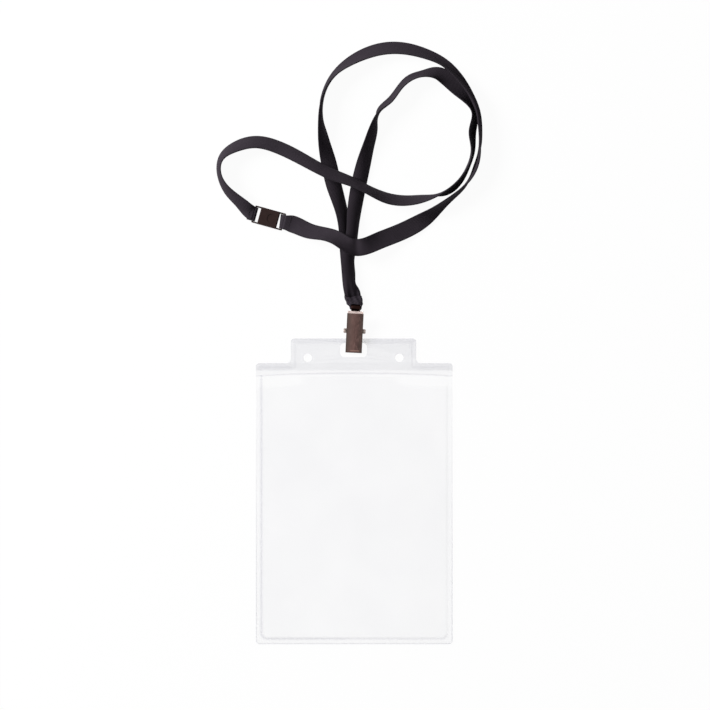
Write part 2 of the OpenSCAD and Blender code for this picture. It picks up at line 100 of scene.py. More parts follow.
# %% Pieces
def new_piece(name, points, faces, material, body=None, values=None, uv=None):
    """A mesh object from points in mm and faces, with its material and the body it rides.

    Quads are shaded smooth, and the larger faces that cap an end are left flat. values holds
    named numbers, one for each point, for the material to read, and uv holds one pair for each
    point, in mm.
    """
    points = np.asarray(points, float).reshape(-1, 3) * MM
    mesh = bpy.data.meshes.new(name)
    mesh.from_pydata(points.tolist(), [], [list(map(int, f)) for f in faces])
    mesh.polygons.foreach_set("use_smooth", np.array([len(f) < 5 for f in faces]))
    for key, numbers in (values or {}).items():
        layer = mesh.attributes.new(key, "FLOAT", "POINT")
        layer.data.foreach_set("value", np.asarray(numbers, np.float32).ravel())
    if uv is not None:
        corner = np.zeros(len(mesh.loops), np.int32)
        mesh.loops.foreach_get("vertex_index", corner)
        mesh.uv_layers.new(name="strap_mm").data.foreach_set(
            "uv", np.asarray(uv, np.float32).reshape(-1, 2)[corner].ravel())
    mesh.materials.append(material)
    mesh.update()
    piece = bpy.data.objects.new(name, mesh)
    bpy.context.scene.collection.objects.link(piece)
    if body:
        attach(piece, body)
    print(name, len(mesh.vertices), "points,", len(mesh.polygons), "faces")
    return piece


print("one millimetre is", MM, "of Blender's units")

# %% [markdown]
# ## Colours and nodes
#
# Colours are written as sRGB hex, as a paint chart gives them, and one function turns them to
# the linear numbers that the shader adds up. One more adds a node with its settings and links.
# In a Mix node that goes from one colour to another, 0 is its share, 6 and 7 its two colours.

# %% Colours and nodes
def linear(code):
    """The linear RGBA of an sRGB hex colour."""
    c = np.array([int(code[i:i + 2], 16) for i in (1, 3, 5)]) / 255
    c = np.where(c <= 0.04045, c / 12.92, ((c + 0.055) / 1.055) ** 2.4)
    return (*c.tolist(), 1.0)


def scaled(code, factor):
    """The linear RGBA of an sRGB hex colour, made darker or lighter by a factor."""
    return (*[min(1.0, c * factor) for c in linear(code)[:3]], 1.0)


def add(tree, kind, inputs=None, **settings):
    """Adds a node. inputs gives a socket, by name or number, a value or another node's output."""
    node = tree.nodes.new(kind)
    for key, value in settings.items():
        setattr(node, key, value)
    for key, value in (inputs or {}).items():
        if isinstance(value, bpy.types.NodeSocket):
            tree.links.new(value, node.inputs[key])
        else:
            node.inputs[key].default_value = value
    return node


def new_material(name):
    """An empty node material and its tree."""
    material = bpy.data.materials.new(name)
    material.use_nodes = True
    material.node_tree.nodes.clear()
    return material, material.node_tree


print("the mid grey #808080 is", round(linear("#808080")[0], 3), "as a linear number")

# %% [markdown]
# ## The studio
#
# The photograph is a cut-out on pure white, with hardly a shadow. The world is white to the
# camera and to mirrors, and a plainer grey as a lamp. One wide soft lamp stands beyond the upper
# left of the picture, because the strap is lightest where its flat side leans that way.

# %% World, floor and lamps
world = bpy.data.worlds.new("studio")
world.use_nodes = True
bpy.context.scene.world = world
tree = world.node_tree
tree.nodes.clear()


def seen_share(tree):
    """1 for rays from the camera, a mirror or clear film, and 0 for light on the object."""
    path = add(tree, "ShaderNodeLightPath")
    first = add(tree, "ShaderNodeMath", {
        0: path.outputs["Is Camera Ray"], 1: path.outputs["Is Glossy Ray"]}, operation="MAXIMUM")
    both = add(tree, "ShaderNodeMath", {
        0: first.outputs[0], 1: path.outputs["Is Transmission Ray"]}, operation="MAXIMUM")
    return both.outputs[0]


AMBIENT, WHITE = 0.17, (1.0, 1.0, 1.0, 1.0)
lamp_sky = add(tree, "ShaderNodeBackground", {"Color": WHITE, "Strength": AMBIENT})
seen_sky = add(tree, "ShaderNodeBackground", {"Color": WHITE, "Strength": 1.0})
sky = add(tree, "ShaderNodeMixShader", {
    0: seen_share(tree), 1: lamp_sky.outputs[0], 2: seen_sky.outputs[0]})
add(tree, "ShaderNodeOutputWorld", {"Surface": sky.outputs[0]})

# The table is matt white card; the glow stands for the white that the cut-out photo shows there
FLOOR_GLOW, FLOOR_HALF, FLOOR_Z = 0.955, 2500, -0.05
table_top, tree = new_material("white_table")
card = add(tree, "ShaderNodeBsdfDiffuse", {"Color": (0.93, 0.93, 0.93, 1)})
glow = add(tree, "ShaderNodeEmission", {"Color": WHITE, "Strength": 1.0})
share = add(tree, "ShaderNodeMath", {0: seen_share(tree), 1: FLOOR_GLOW}, operation="MULTIPLY")
table = add(tree, "ShaderNodeMixShader", {
    0: share.outputs[0], 1: card.outputs[0], 2: glow.outputs[0]})
add(tree, "ShaderNodeOutputMaterial", {"Surface": table.outputs[0]})
corners = np.array([[-1, -1, 0], [1, -1, 0], [1, 1, 0], [-1, 1, 0]]) * FLOOR_HALF + [0, 0, FLOOR_Z]
floor = new_piece("floor", corners, [[0, 1, 2, 3]], table_top)
floor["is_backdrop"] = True


def soft_lamp(name, place, aim, size, watts):
    """A square area lamp, with its place and what it points at in metres."""
    data = bpy.data.lights.new(name, "AREA")
    data.size, data.energy = size, watts
    lamp = bpy.data.objects.new(name, data)
    bpy.context.scene.collection.objects.link(lamp)
    lamp.location = place
    back = np.array(place) - np.array(aim)
    lamp.rotation_euler = (math.atan2(math.hypot(back[0], back[1]), back[2]), 0,
                           math.atan2(back[0], -back[1]))


soft_lamp("key_lamp", place=(-1.25, 0.6, 0.9), aim=(0, 0.15, 0), size=0.6, watts=41)

# %% [markdown]
# ## The strap's woven polyester
#
# The strap is a flat tape, 10 mm wide, woven from dull black polyester on a needle loom. That
# gives the eye a soft matt black with fine ribs, a faint sheen where it turns to the light and
# a slightly darker selvedge down both edges. The ribs are really 0.4 mm apart, too fine for a
# picture with 0.575 mm to a pixel, so they are drawn 1.3 mm apart.

# %% Woven polyester
STRAP_W, STRAP_T, EDGE_R = 10.0, 0.7, 0.2
RIB_MM, CORD_MM, SELVEDGE_MM = 1.3, 1.05, 0.9


def woven_polyester(name, face_colour, edge_colour):
    """A tape's finish from its UV map, which holds mm across the tape and mm along it."""
    material, tree = new_material(name)
    uv = add(tree, "ShaderNodeUVMap", uv_map="strap_mm").outputs[0]
    place = add(tree, "ShaderNodeSeparateXYZ", {0: uv})
    waves = []
    for axis, pitch in (("Y", RIB_MM), ("X", CORD_MM)):
        turn = add(tree, "ShaderNodeMath", {
            0: place.outputs[axis], 1: 2 * math.pi / pitch}, operation="MULTIPLY")
        waves.append(add(tree, "ShaderNodeMath", {0: turn.outputs[0]}, operation="SINE").outputs[0])
    weave = add(tree, "ShaderNodeMath", {0: waves[0], 1: waves[1]}, operation="MULTIPLY").outputs[0]
    lint = add(tree, "ShaderNodeTexNoise", {
        "Vector": uv, "Scale": 0.35, "Detail": 5.0, "Roughness": 0.7})
    off = add(tree, "ShaderNodeMath", {0: place.outputs["X"]}, operation="ABSOLUTE").outputs[0]
    selvedge = add(tree, "ShaderNodeMapRange", {
        0: off, 1: STRAP_W / 2 - SELVEDGE_MM, 2: STRAP_W / 2 - SELVEDGE_MM / 3})
    shade = add(tree, "ShaderNodeMapRange", {0: weave, 1: -1.0, 2: 1.0, 3: 0.0, 4: 0.55}).outputs[0]
    mottle = add(tree, "ShaderNodeMath", {0: shade, 1: lint.outputs[0]}, operation="ADD").outputs[0]
    mottle = add(tree, "ShaderNodeMath", {0: mottle, 1: 0.55}, operation="MULTIPLY").outputs[0]
    cloth = add(tree, "ShaderNodeMix", {
        0: mottle, 6: scaled(face_colour, 0.72), 7: scaled(face_colour, 1.45)}, data_type="RGBA")
    colour = add(tree, "ShaderNodeMix", {
        0: selvedge.outputs[0], 6: cloth.outputs[2], 7: linear(edge_colour)}, data_type="RGBA")
    height = add(tree, "ShaderNodeMath", {0: weave, 1: lint.outputs[0]}, operation="ADD").outputs[0]
    bump = add(tree, "ShaderNodeBump", {"Strength": 0.45, "Distance": 0.12 * MM, "Height": height})
    cloth_shader = add(tree, "ShaderNodeBsdfPrincipled", {
        "Base Color": colour.outputs[2], "Roughness": 0.62, "Specular IOR Level": 0.02,
        "Sheen Weight": 0.01, "Sheen Roughness": 0.4, "Sheen Tint": linear("#b9b2bd"),
        "Normal": bump.outputs[0]})
    add(tree, "ShaderNodeOutputMaterial", {"Surface": cloth_shader.outputs[0]})
    return material


black_tape = woven_polyester("woven_black_polyester", "#322d33", "#2c282d")
print("ribs of", RIB_MM, "mm across a tape of", STRAP_W, "mm")

# %% [markdown]
# ## The two free straps
#
# Each strap is a flat cord. A point of its route is its place on the table and the height of its
# lower edge, in millimetres, and its roll in degrees. The routes follow the points of the CAD
# part. Near the clip and the buckle they leave them by about a millimetre, and at the short
# strap's end the tape leans the other way, as the photograph shows it. A smooth curve runs
# through the points, because a real tape bends evenly. A strap standing on edge rests on the
# table with one edge, so the height of its middle follows from its roll.

# %% Routes
# The buckle's two bars lie BAR_S mm either side of its middle, and the tape wraps them at WRAP mm
BUCKLE_AT, BUCKLE_TURN = np.array([-49.1, 157.0, 0.0]), math.radians(-15.5)
BAR_S, BAR_Z, WRAP, PAST_BAR = 8.7, 1.8, 1.151, 0.1
ON_BAR_Z = BAR_Z + WRAP - STRAP_T / 2

long_route = [
    [-0.85, 112, 0.6, 12], [-1.9, 117, 0.3, 31], [-2.8, 124, 0.2, 38], [-3.5, 132, 0.2, 39],
    [-4.1, 140, 0.2, 38], [-4.8, 148, 0.2, 45], [-5.8, 156, 0.2, 45], [-8.4, 166.1, 0.2, 38],
    [-11.8, 177, 0.2, 24], [-14.3, 188, 0.2, 26], [-16.6, 198.1, 0.2, 44], [-18.2, 209.1, 0.2, 67],
    [-18.9, 219, 0.2, 88], [-17.1, 228.9, 0.2, 96], [-12.3, 237.7, 0.2, 106], [-3.7, 245.4, 0.2, 123],
    [7.5, 251.3, 0.2, 136], [18.5, 254.1, 0.2, 140], [30, 253.7, 0.2, 138], [41.2, 250.6, 0.2, 131],
    [51.4, 245.2, 0.2, 124], [60, 236.8, 0.2, 118], [66.3, 227.6, 0.2, 107], [70.4, 217.8, 0.2, 103],
    [71.9, 207, 0.2, 101], [71.8, 197, 0.2, 92], [69.3, 186.7, 0.2, 78], [64.2, 176.5, 0.2, 91],
    [55, 168.2, 0.2, 104], [45.2, 160, 0.2, 128], [34.8, 153, 0.6, 163], [24, 147.8, 2.4, 173],
    [13.4, 143.5, 5.2, 174], [4.4, 140.1, 7.6, 170], [-2.6, 140.4, 8.6, 197], [-9.2, 144.4, 7.8, 210],
    [-17.6, 147.5, 4.4, 219], [-26.3, 149.5, 2, 206], [-35.8, 153.6, 1.65, 184],
]
short_route = [
    [-0.75, 112, 1.8, 12], [-1.9, 117, 1.5, 31], [-2.6, 124, 1.3, 37], [-3.1, 132, 1.1, 38],
    [-2.2, 140, 1, 35], [-0.6, 148, 0.6, 42], [0, 156, 0.6, 38], [1.1, 166, 0.3, 28],
    [5.6, 187.9, 0.2, 33], [8.6, 198.7, 0.2, 50], [11.9, 210.2, 0.2, 68], [14.6, 218.3, 0.2, 101],
    [20.5, 223.7, 0.2, 111], [25.9, 230.6, 0.2, 109], [32.2, 236.7, 0.2, 115], [40.1, 239.3, 0.2, 118],
    [48.6, 239.4, 0.2, 146], [58.6, 231.6, 0.2, 150], [64.5, 224.9, 0.2, 128], [68.6, 217.2, 0.2, 112],
    [67.2, 206, 0.2, 116], [67.6, 196, 0.2, 102], [65.2, 186.7, 0.2, 96], [60.3, 178.3, 0.2, 104],
    [52.5, 171.9, 0.2, 102], [42.7, 169.1, 0.2, 70], [31, 167.3, 0.8, 52], [19.6, 168.2, 2.6, 50],
    [8.5, 172.8, 4.8, 58], [-1.6, 177.7, 5.6, 54], [-12, 181.5, 6.2, 47], [-21.8, 186.2, 5.6, 46],
    [-43.7, 197.7, 0.2, 40], [-56, 200.7, 0.2, 42], [-68.2, 197.9, 0.2, 50], [-77, 190.8, 0.2, 70],
    [-77.8, 181.9, 0.2, 79], [-73.4, 172.4, 0.3, 64], [-65.5, 164.9, 0.4, 46], [-60.4, 160.9, 1.0, 22],
]


def placed(at, angle, x, y, z):
    """Points given in a frame of their own, turned on the table by angle and moved to at."""
    x, y, z = np.broadcast_arrays(x, y, z)
    c, s = math.cos(angle), math.sin(angle)
    return np.stack([at[0] + c * x - s * y, at[1] + s * x + c * y, z], -1)


def from_buckle(along, across, up):
    """Points given along the buckle, across it and up, in mm, put where the buckle lies."""
    return placed(BUCKLE_AT, BUCKLE_TURN, along, across, up)


def route_to_bar(route, side):
    """The route with one more point, where the tape lies flat on top of the buckle's bar."""
    top = from_buckle(side * (BAR_S + PAST_BAR), 0.0, ON_BAR_Z)
    return np.array(route + [[*top, 180 if side > 0 else 0]], float)


print("route points:", len(long_route), "and", len(short_route))

# %% [markdown]
# A curve through the route's points and a tube about the curve make the strap. The points of a
# tube are a grid, one row to a ring, so that its faces follow from the counts of rows and columns.

# %% Curves and tubes
def unit(v):
    """Each row of v divided by its own length."""
    return v / np.linalg.norm(v, axis=-1, keepdims=True)


def smooth(t):
    """0 below 0, 1 above 1 and a smooth step between."""
    t = np.clip(t, 0, 1)
    return t * t * (3 - 2 * t)


def run_along(line):
    """The distance run along a line from its first point to each of its points."""
    return np.append(0, np.cumsum(np.linalg.norm(np.diff(line, axis=0), axis=1)))


def spline(knots, start_slope, end_slope, step):
    """A smooth curve through the rows of knots, one point every step along it.

    Between two knots each column is the cubic that keeps its slope and its bend from one
    stretch to the next. Its slopes at both ends are given, and the slopes at the knots between
    come from the usual set of linear equations.
    """
    gap = np.linalg.norm(np.diff(knots[:, :3], axis=0), axis=1)
    at = np.append(0, np.cumsum(gap))
    n = len(knots)
    m, rhs = np.eye(n), np.zeros((n, knots.shape[1]))
    rhs[0], rhs[-1] = start_slope, end_slope
    i = np.arange(1, n - 1)
    m[i, i - 1], m[i, i], m[i, i + 1] = 1 / gap[i - 1], 2 / gap[i - 1] + 2 / gap[i], 1 / gap[i]
    rise = np.diff(knots, axis=0) / gap[:, None] ** 2
    rhs[1:-1] = 3 * (rise[:-1] + rise[1:])
    slope = np.linalg.solve(m, rhs)
    t = np.linspace(0, at[-1], int(at[-1] / step) + 1)
    k = np.clip(np.searchsorted(at, t, side="right") - 1, 0, n - 2)
    s = ((t - at[k]) / gap[k])[:, None]
    a, b, g = knots[k], knots[k + 1], gap[k][:, None]
    return ((2 * s**3 - 3 * s**2 + 1) * a + (3 * s**2 - 2 * s**3) * b
            + (s**3 - 2 * s**2 + s) * g * slope[k] + (s**3 - s**2) * g * slope[k + 1])


def grid_faces(rows, cols, wrap=False):
    """Quads of a grid of rows by cols points; wrap joins the last column to the first."""
    across = cols if wrap else cols - 1
    i, j = np.meshgrid(np.arange(rows - 1), np.arange(across), indexing="ij")
    k = (j + 1) % cols
    quads = np.stack([i * cols + j, i * cols + k, (i + 1) * cols + k, (i + 1) * cols + j], -1)
    return quads.reshape(-1, 4)


def tube_faces(rows, cols, turned=False):
    """Quads of a closed tube and a cap for each end; turned faces them all the other way."""
    quads = grid_faces(rows, cols, wrap=True)
    first, last = list(range(cols)), list(range((rows - 1) * cols, rows * cols))
    if turned:
        return quads[:, ::-1].tolist() + [first, last[::-1]]
    return quads.tolist() + [first[::-1], last]


print("a tube of 3 rings of 4 points has", len(tube_faces(3, 4)), "faces")

# %% [markdown]
# A strap's surface is its cross-section carried along the route. At each step the tape's own
# side is the level left of travel, rolled by the step's angle, and its face stands square to
# that side and to the travel. The section is a thin slab with round edges. It is cupped into an
# arc where the tape is squeezed or stands on edge, gathered into pleats where it comes out of the
# clip's eye, and narrowed to fit the buckle's slot. The UV map keeps millimetres across and along
# the tape, so that the weave follows every turn.

# %% Strap surface
# Pleats PLEAT_MM apart and GATHER_H high run out GATHER_REACH mm from the clip
PLEAT_MM, PLEAT_PHASE, GATHER_H, GATHER_REACH, GATHER_NARROWS = 3.6, 0.9, 0.32, 16.0, 0.06
FOLD_W, TABLE_GAP, CURVE_STEP = 8.1, 0.02, 1.2
# How far from each bar the tape has its full width again, in mm: the socket's side and the plug's
NECK_MM = {1: 5.5, -1: 9.0}


def tape_section(width):
    """Points round the tape's cut end, in mm: a flat slab with round edges."""
    flat_half = width / 2 - EDGE_R
    a = np.linspace(-math.pi / 2, math.pi / 2, 7)
    x = np.linspace(-1, 1, 17)[1:-1] * flat_half
    right = np.stack([flat_half + EDGE_R * np.cos(a), STRAP_T / 2 * np.sin(a)], -1)
    top = np.stack([x[::-1], np.full(x.shape, STRAP_T / 2)], -1)
    return np.concatenate([right, top, -right, -top])


def tape_piece(name, points, section, line, body):
    """Rings of points about line as one closed tape, whose UV map is mm across and along it."""
    uv = np.stack(np.broadcast_arrays(section[None, :, 0], run_along(line)[:, None]), -1)
    faces = tube_faces(*points.shape[:2], turned=True)
    return new_piece(name, points, faces, black_tape, body, uv=uv)


def sweep_tape(name, line, roll, cup, width, gathers, body, travel_end):
    """Carries the slab along line, with its roll and cup in degrees and its width in mm.

    A cupped slab is bent into an arc across its width, of cup degrees from edge to edge. The
    arc's middle stands width * bend / 8 above its edges, and a third of that is taken off, so
    that the arc lies about the line. gathers is the height in mm, at each step, of the waves
    that pleats make across the tape. A ring that would dip into the table is lifted onto it.
    """
    f = unit(np.gradient(line, axis=0))
    f[0], f[-1] = (0, 1, 0), travel_end
    level = unit(np.stack([-f[:, 1], f[:, 0], 0 * f[:, 0]], -1))
    r = np.radians(roll)[:, None]
    lean = np.cos(r) * level + np.sin(r) * np.array([0, 0, 1.0])
    face = unit(np.cross(f, lean))
    side = np.cross(face, f)
    section = tape_section(STRAP_W)
    across, thick = section[:, 0] * (width / STRAP_W)[:, None], section[None, :, 1]
    bend = np.radians(np.clip(cup, 0.1, None))[:, None]
    radius = width[:, None] / bend
    out = (radius + thick) * np.sin(across / radius)
    up = (radius + thick) * np.cos(across / radius) - radius + width[:, None] * bend / 24
    up = up + gathers[:, None] * np.cos(2 * math.pi * section[:, 0] / PLEAT_MM + PLEAT_PHASE)
    points = line[:, None] + out[..., None] * side[:, None] + up[..., None] * face[:, None]
    points[..., 2] += np.clip(TABLE_GAP - points[..., 2].min(axis=1, keepdims=True), 0, None)
    return tape_piece(name, points, section, line, body)


print("tape of", STRAP_W, "by", STRAP_T, "mm,", len(tape_section(STRAP_W)), "points round it")

# %% [markdown]
# Each strap now gets its own curve. Its points carry five numbers: the place, the roll and how
# far the tape is cupped there. The cup is read off the shading across the tape in the photograph.

# %% Free straps
def free_strap(name, route, cups, side, body):
    """One free strap from the clip to its bar of the buckle, with its middle line and length.

    side is 1 for the socket's bar and -1 for the plug's, and cups are pairs of a route point's
    number and how far the tape is cupped there, in degrees.
    """
    knots = route_to_bar(route, side)
    knots = np.column_stack([knots, np.interp(np.arange(len(knots)), *np.transpose(cups))])
    end = -side * np.array([math.cos(BUCKLE_TURN), math.sin(BUCKLE_TURN), 0])
    askew = unit(end + unit(knots[-1, :3] - knots[-2, :3]))
    # It leaves the clip straight up the picture and rolls by 3 degrees in each millimetre
    first_slope = [0, 1, 0, 3.0, 0]
    curve = spline(knots, first_slope, [*askew, 0, 0], CURVE_STEP)
    roll = curve[:, 3]
    s, c = np.abs(np.sin(np.radians(roll))), np.abs(np.cos(np.radians(roll)))
    line = curve[:, :3] + np.stack([0 * s, 0 * s, STRAP_W / 2 * s + STRAP_T / 2 * c], -1)
    gone = run_along(line)
    left = run_along(line[::-1])[::-1]
    gather = np.clip(1 - gone / GATHER_REACH, 0, 1) ** 1.5
    width = FOLD_W + (STRAP_W - FOLD_W) * smooth(left / NECK_MM[side])
    width = width * (1 - GATHER_NARROWS * gather)
    piece = sweep_tape(name, line, roll, curve[:, 4], width, GATHER_H * gather, body, end)
    return piece, line, gone[-1]


long_cup = [[0, 10], [1, 75], [4, 75], [10, 30], [12, 70], [14, 50], [17, 25], [19, 35], [20, 75],
            [23, 75], [24, 45], [28, 40], [31, 10], [33, 25], [34, 60], [37, 15], [39, 0]]
short_cup = [[0, 10], [1, 80], [4, 85], [5, 95], [7, 70], [9, 35], [11, 60], [15, 40], [16, 25],
             [18, 35], [20, 50], [24, 60], [27, 30], [34, 25], [36, 60], [38, 90], [39, 25],
             [40, 0]]
strap_long, long_line, long_length = free_strap(
    "woven_strap_long", long_route, long_cup, 1, "lanyard")
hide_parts("strap_long")
strap_short, short_line, short_length = free_strap(
    "woven_strap_short", short_route, short_cup, -1, None)
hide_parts("strap_short")
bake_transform(strap_short)
print("strap lengths in mm:", round(long_length, 1), round(short_length, 1))

# %% [markdown]
# ## The sewn folds
#
# Each end of the strap goes round a bar of the buckle and back under itself, and is sewn down.
# The fold is the same tape carried round a half circle, in the buckle's own upright plane. It
# starts on top of the bar, where the free strap stops. Six stitches in a row hold it down.

# %% Folds and stitches
LEG_Z = 0.55


def buckle_tape(name, side, leg, body, loose):
    """The tape round a bar: half a turn about the bar, then a straight leg back under the strap.

    loose is how far the fold stands off the bar at one edge of the tape and at the other, in mm.
    """
    a = np.radians(np.linspace(90, 270, 25))
    turn = np.stack([BAR_S + WRAP * np.cos(a), BAR_Z + WRAP * np.sin(a)], -1)
    t = np.linspace(0, 1, 9)[1:, None]
    leg_line = (1 - t) * turn[-1] + t * np.array([BAR_S + leg, LEG_Z])
    path = np.concatenate([[[BAR_S + PAST_BAR, BAR_Z + WRAP]], turn, leg_line])
    line = from_buckle(side * path[:, 0], 0.0, path[:, 1])
    f = unit(np.gradient(line, axis=0))
    across = side * np.array([-math.sin(BUCKLE_TURN), math.cos(BUCKLE_TURN), 0.0])
    face = unit(np.cross(f, across))
    section = tape_section(FOLD_W)
    points = line[:, None] + section[None, :, :1] * across + section[None, :, 1:] * face[:, None]
    bulge = np.clip((BAR_S - path[:, 0]) / WRAP, 0, 1)[:, None] ** 2
    stand_off = np.interp(section[:, 0], [-FOLD_W / 2, FOLD_W / 2], loose)
    inward = from_buckle(-side, 0.0, 0.0) - BUCKLE_AT
    points += (bulge * stand_off)[..., None] * inward
    return tape_piece(name, points, section, line, body)


fold_socket = buckle_tape("sewn_fold_socket", 1, 5.0, "lanyard", (0.0, 1.1))
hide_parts("strap_fold_socket")
fold_plug = buckle_tape("sewn_fold_plug", -1, 3.5, "plug", (0.0, 0.0))
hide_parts("strap_fold_plug")

# Each stitch's length, step and thickness, and how far the row lies before the bar, in mm
STITCH, STITCH_STEP, STITCH_R, STITCH_BACK = 0.9, 1.25, 0.18, 2.4
STITCHES, RINGS, SIDES = 6, 9, 8


def stitch_row(name, line, side, body):
    """Stitches across the tape, a little before the bar: threads that swell in the middle."""
    k = len(line) - 1 - int(np.searchsorted(run_along(line[::-1]), STITCH_BACK))
    f = unit(line[k + 1] - line[k])
    across = side * np.array([-math.sin(BUCKLE_TURN), math.cos(BUCKLE_TURN), 0.0])
    up = unit(np.cross(f, across))
    up = up * np.sign(up[2])
    t = np.linspace(-1, 1, RINGS)
    a = np.linspace(0, 2 * math.pi, SIDES, endpoint=False)
    r = STITCH_R * np.sqrt(np.clip(1 - t**4, 0.02, None))[:, None]
    round_x, round_z = r * np.cos(a), r * np.sin(a) + STRAP_T / 2 + 0.02
    travel = unit(np.cross(across, up))
    thread = (t[:, None, None] * STITCH / 2 * across + round_x[..., None] * travel
              + round_z[..., None] * up).reshape(-1, 3)
    offsets = (np.arange(STITCHES) - (STITCHES - 1) / 2) * STITCH_STEP
    points = line[k] + offsets[:, None, None] * across + thread
    faces = [[n * len(thread) + corner for corner in face]
             for n in range(STITCHES) for face in tube_faces(RINGS, SIDES)]
    plain = np.zeros((points.size // 3, 2))
    return new_piece(name, points, faces, black_tape, body, uv=plain)


stitch_row("stitches_socket", long_line, 1, "lanyard")
stitch_row("stitches_plug", short_line, -1, "plug")

# %% [markdown]
# ## The gathered bight in the clip's eye
#
# Between its two sides the strap is squeezed into a cord that runs through the rolled eye. It
# is one tube: flat where it meets the free straps, deep and narrow where it hugs the tang, and
# round in the bore. Its skin is pleated lengthwise, as gathered tape is, and the pleats run on
# into those of the free straps.

# %% Gathered bight
# The rolled eye lies EYE_L mm along the clip, and the cord fills its bore to BORE_R
CLIP_AT, CLIP_LEAN = (-0.4, 79.6), math.radians(2.8)
EYE_L, EYE_R, BORE_R, TANG_W = 25.9, 2.0, 1.42, 5.2
BIGHT_STEP, BIGHT_UV_HALF = 0.25, 4.2


def from_clip(across, along, up):
    """Points given across the clip, along it from its jaw and up, in mm, put on the table."""
    return placed(CLIP_AT, -CLIP_LEAN, across, along, up)


# One side each: out from the tang, up from the eye, lift, turn, half width, half thickness
bight_rows = {
    -1: [[0.45, 0.25, 0, 22, 0.95, 1.5], [0.5, 0.95, 0, 53, 0.8, 1.7],
         [0.65, 1.6, 0, 75, 1.4, 1.6], [-0.1, 2.05, -0.1, 88, 2.9, 1.3],
         [0.0, 3.0, -0.3, 92, 3.1, 1.1], [-0.1, 3.9, -0.6, 93, 3.8, 0.8],
         [-0.3, 4.9, -0.85, 92, 4.4, 0.5]],
    1: [[0.35, 0.25, 0, 22, 0.95, 1.5], [0.45, 0.95, 0, 53, 0.55, 1.7],
        [0.5, 1.6, 0, 75, 0.6, 1.6], [-1.0, 2.05, 0.2, 95, 2.5, 1.3],
        [-1.6, 3.0, 0.4, 92, 2.9, 1.2], [-2.4, 3.9, 0.6, 93, 3.6, 0.9],
        [-3.2, 4.9, 0.8, 92, 4.3, 0.55]],
}


def bight_side(s, start):
    """Rows of middle, turn, half width and half thickness from the bore out to the free strap.

    The first four lie in the bore, and the last one lies in the free strap's own end.
    """
    r = np.array(bight_rows[s], float)
    middle = from_clip(s * (TANG_W / 2 + r[:, 0]), EYE_L + r[:, 1], EYE_R + r[:, 2])
    turn = s * np.radians(r[:, 3]) - CLIP_LEAN
    rows = np.column_stack([middle, turn, r[:, 4], r[:, 5]])
    mouth = np.array([[*from_clip(s * share * TANG_W / 2, EYE_L, EYE_R), -CLIP_LEAN, BORE_R, BORE_R]
                      for share in (0.1, 0.4, 0.7, 1.0)])
    inside = [start[0], start[1] + 0.4, start[2], s * math.pi / 2]
    inside += [STRAP_W / 2 - 0.1, STRAP_T / 2 - 0.02]
    return np.concatenate([mouth, rows, [inside]])


def gathered_tube(rows, sides=48, pleats=9):
    """Ellipses about the middles, in the plane that each row's turn gives, with pleats round them.

    Where the tube grows flat, the pleats turn into the waves that the free strap starts with.
    """
    a = np.linspace(0, 2 * math.pi, sides, endpoint=False)
    mid, (turn, wide, thick) = rows[:, None, :3], rows[:, 3:].T[..., None]
    pleat = 1 - 0.05 * (1 + np.cos(pleats * a + 0.6)) * np.clip(thick - 0.3, 0, 1)
    side = np.stack([-np.sin(turn), np.cos(turn), 0 * turn], -1)
    flat = np.clip((1.35 - thick) / 0.8, 0, 1)
    turns = wide * np.cos(a) * np.sin(turn) / PLEAT_MM
    wave = GATHER_H * flat * np.cos(2 * math.pi * turns + PLEAT_PHASE)
    return (mid + (wide * pleat * np.cos(a))[..., None] * side
            + (thick * pleat * np.sin(a) + wave)[..., None] * np.array([0, 0, 1.0]))


bight_knots = np.concatenate([bight_side(-1, long_line[0])[::-1], bight_side(1, short_line[0])])
bight_points = gathered_tube(spline(bight_knots, np.zeros(6), np.zeros(6), BIGHT_STEP))
rows, cols = bight_points.shape[:2]
bight_uv = np.stack(np.meshgrid(np.linspace(-BIGHT_UV_HALF, BIGHT_UV_HALF, cols),
                                np.arange(rows) * BIGHT_STEP), -1)
bight = new_piece("gathered_bight", bight_points, tube_faces(rows, cols), black_tape, "lanyard",
                  uv=bight_uv)
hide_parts("strap_bight")

# %% [markdown]
# Both straps are free cords from the clip to the buckle, and their point counts are printed.

print("cords of", len(long_line), "and", len(short_line), "points")

# %% [markdown]
# ## The clip
#
# The clip is stamped from thin steel and plated in dark nickel, which the camera sees as a warm
# brown-grey, scuffed lengthwise by use, with a highlight painted along its edges. The stamped
# shapes stay as CAD has them, and a small bevel breaks their edges so that they catch the light.

# %% Dark nickel
# A painted highlight lies over the lever's toothed fold, FOLD_L mm along the clip and FOLD_X mm across
FOLD_L, FOLD_X = 1.2, 0.5


def clip_millimetres(tree, place):
    """Object coordinates turned to millimetres across the clip and along it from its jaw."""
    c, s = math.cos(CLIP_LEAN), math.sin(CLIP_LEAN)
    corner = (s * CLIP_AT[1] - c * CLIP_AT[0], -s * CLIP_AT[0] - c * CLIP_AT[1], 0)
    turned = add(tree, "ShaderNodeMapping", {
        "Vector": place, "Location": corner, "Rotation": (0, 0, CLIP_LEAN), "Scale": (1 / MM,) * 3})
    return add(tree, "ShaderNodeSeparateXYZ", {0: turned.outputs[0]})


